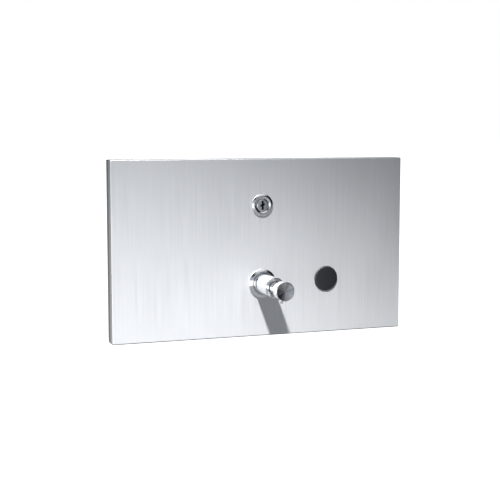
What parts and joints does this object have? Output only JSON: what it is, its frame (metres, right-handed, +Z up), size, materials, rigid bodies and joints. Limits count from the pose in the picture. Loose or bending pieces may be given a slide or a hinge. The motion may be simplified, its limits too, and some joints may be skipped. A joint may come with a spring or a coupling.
{
  "type": "recessed soap dispenser",
  "caption": "Recessed liquid soap dispenser: wide satin steel door with lock, push valve and level window, hinged at its lower edge on a wall box, with a tank on its back.",
  "frame": {"origin": "centre of the wall opening, in the plane of the wall's surface, where the box flange's back face lies", "axes": "+X to the right as seen from the room, +Y into the wall, +Z up"},
  "size_m": [0.302, 0.1641, 0.175],
  "materials": {
    "satin_steel": "satin stainless steel with a vertical grain",
    "mill_steel": "plain stainless sheet",
    "spring_steel": "bright drawn steel",
    "chrome": "polished chrome plate",
    "brass": "machined brass",
    "rubber": "black rubber",
    "nylon": "natural nylon",
    "clear_tube": "clear flexible tube",
    "smoked_acrylic": "dark smoked acrylic, polished"
  },
  "bodies": {
    "wall_box_body": {"wall_box": "mill_steel", "hinge_box_leaf": "mill_steel", "hinge_pin": "spring_steel", "leaf_rivet_1": "spring_steel", "leaf_rivet_2": "spring_steel", "leaf_rivet_3": "spring_steel", "lock_strike": "mill_steel", "strike_rivet_1": "spring_steel", "strike_rivet_2": "spring_steel", "stop_pin_left": "spring_steel", "stop_pin_right": "spring_steel", "bumper_left": "rubber", "bumper_right": "rubber"},
    "door": {"door_plate": "satin_steel", "hinge_door_leaf": "mill_steel", "tank_body": "mill_steel", "tank_cover": "mill_steel", "lid_pin": "spring_steel", "tank_nut_1": "spring_steel", "tank_nut_2": "spring_steel", "tank_nut_3": "spring_steel", "tank_nut_4": "spring_steel", "stop_arm_left": "mill_steel", "stop_arm_right": "mill_steel", "window_lens": "smoked_acrylic", "window_gasket": "rubber", "window_nut": "nylon", "valve_escutcheon": "chrome", "valve_barrel": "chrome", "valve_gasket": "rubber", "valve_nut": "brass", "guide_bushing": "nylon", "inlet_seat": "nylon", "inlet_valve": "rubber", "inlet_cap": "nylon", "pickup_tube": "clear_tube", "return_spring": "spring_steel", "lock_housing": "chrome", "lock_nut": "brass"},
    "plunger": {"push_button": "chrome", "valve_stem": "chrome", "nozzle": "chrome", "piston": "nylon", "piston_seal": "rubber", "outlet_valve": "rubber"},
    "lock": {"lock_plug": "chrome", "lock_cam": "mill_steel", "cam_screw": "spring_steel"},
    "lid": {"filler_lid": "mill_steel", "lid_seal": "rubber"}
  },
  "joints": [
    {"name": "door_hinge", "type": "hinge", "parent": "wall_box_body", "child": "door", "pos_m": [0, -0.0035, -0.0835], "axis": [1, 0, 0], "range_deg": [0, 40]},
    {"name": "button_press", "type": "slide", "parent": "door", "child": "plunger", "axis": [0, 1, 0], "range_m": [0, 0.012], "stiffness_N_per_m": 400, "springref_m": -0.008, "deforming": ["return_spring"]},
    {"name": "lock_turn", "type": "hinge", "parent": "door", "child": "lock", "pos_m": [0, -0.016, 0.042], "axis": [0, 1, 0], "range_deg": [0, 90]},
    {"name": "lid_hinge", "type": "hinge", "parent": "door", "child": "lid", "pos_m": [0, 0.0508, 0.03074], "axis": [-1, 0, 0], "range_deg": [0, 100]}
  ]
}
